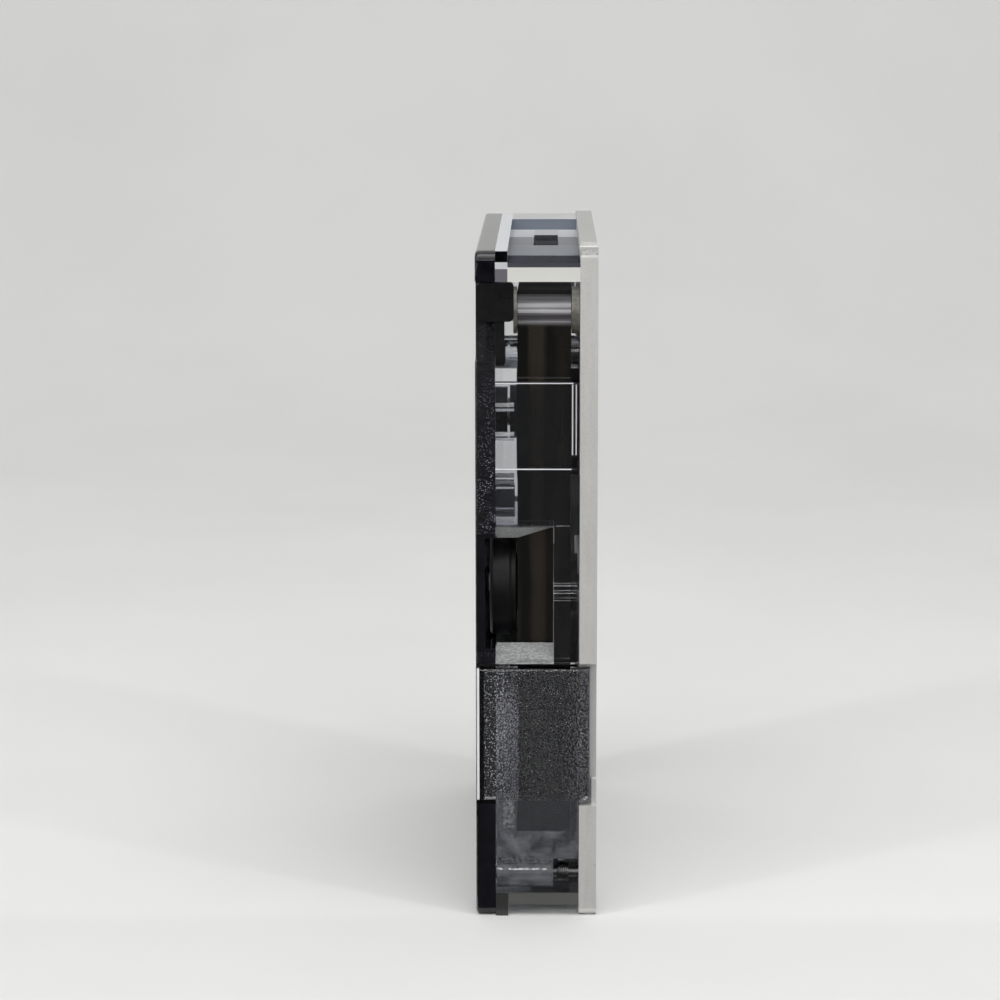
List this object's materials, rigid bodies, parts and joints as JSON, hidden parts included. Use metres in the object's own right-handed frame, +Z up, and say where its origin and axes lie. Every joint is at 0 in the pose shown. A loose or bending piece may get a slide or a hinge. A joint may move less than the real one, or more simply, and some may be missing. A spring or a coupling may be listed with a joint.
{
  "type": "data tape cartridge",
  "caption": "Belt-driven mini data tape cartridge for quarter-inch tape, with a metal base plate, a smoke-clear cover, a spring door and a write-protect slider.",
  "frame": {"origin": "middle of the short side that it stands on, in the middle of the thickness and the depth", "axes": "+Z up along the long side, +X through the thickness from the cover to the base plate, -Y out of the front working edge where the tape and the door are"},
  "size_m": [0.0144, 0.0614, 0.081],
  "materials": {
    "plate": "satin",
    "smoke_plastic": "glossy, grained on the outer face",
    "door_plastic": "grained",
    "steel": "ground",
    "screw_steel": "satin",
    "black_plastic": "satin",
    "puck": "matte",
    "roller_plastic": "satin",
    "belt": "matte",
    "tape": "glossy",
    "mirror": "polished"
  },
  "bodies": {
    "cartridge": {"base_plate": "plate", "cover": "smoke_plastic", "cover_screws": "screw_steel", "door_pin": "steel", "door_spring": "steel", "drive_roller_pin": "steel", "corner_roller_pin_lower": "steel", "corner_roller_pin_upper": "steel", "hub_pin_lower": "steel", "hub_pin_upper": "steel", "tape_guide_lower": "steel", "tape_guide_upper": "steel", "mirror": "mirror", "drive_belt": "belt", "tape_run": "tape"},
    "door": {"door": "door_plastic"},
    "reel_upper": {"reel_hub_upper": "black_plastic", "tape_pack_upper": "tape"},
    "reel_lower": {"reel_hub_lower": "black_plastic", "tape_pack_lower": "tape"},
    "drive_roller": {"drive_roller": "puck"},
    "corner_roller_upper": {"corner_roller_upper": "roller_plastic"},
    "corner_roller_lower": {"corner_roller_lower": "roller_plastic"},
    "write_protect_slider": {"write_protect_slider": "black_plastic"}
  },
  "joints": [
    {"name": "door_hinge", "type": "hinge", "parent": "cartridge", "child": "door", "pos_m": [0, -0.02872, 0.005], "axis": [1, 0, 0], "range_deg": [0, 90], "stiffness_Nm_per_rad": 0.001, "springref_deg": -28.65},
    {"name": "reel_upper_spin", "type": "hinge", "parent": "cartridge", "child": "reel_upper", "pos_m": [0, -0.00147, 0.05775], "axis": [1, 0, 0], "continuous": true},
    {"name": "reel_lower_spin", "type": "hinge", "parent": "cartridge", "child": "reel_lower", "pos_m": [0, -0.00147, 0.02325], "axis": [1, 0, 0], "continuous": true},
    {"name": "drive_roller_spin", "type": "hinge", "parent": "cartridge", "child": "drive_roller", "pos_m": [0, -0.02337, 0.0399], "axis": [1, 0, 0], "continuous": true},
    {"name": "corner_roller_upper_spin", "type": "hinge", "parent": "cartridge", "child": "corner_roller_upper", "pos_m": [0, 0.02417, 0.0742], "axis": [1, 0, 0], "continuous": true},
    {"name": "corner_roller_lower_spin", "type": "hinge", "parent": "cartridge", "child": "corner_roller_lower", "pos_m": [0, 0.02417, 0.0065], "axis": [1, 0, 0], "continuous": true},
    {"name": "write_protect_slide", "type": "slide", "parent": "cartridge", "child": "write_protect_slider", "axis": [0, 0, 1], "range_m": [-0.0046, 0]}
  ],
  "couplings": [
    {"joint": "reel_lower_spin", "follows": "reel_upper_spin", "ratio": 1.2117},
    {"joint": "drive_roller_spin", "follows": "reel_upper_spin", "ratio": -4.6111},
    {"joint": "corner_roller_upper_spin", "follows": "reel_upper_spin", "ratio": -4.15},
    {"joint": "corner_roller_lower_spin", "follows": "reel_upper_spin", "ratio": -4.15}
  ]
}
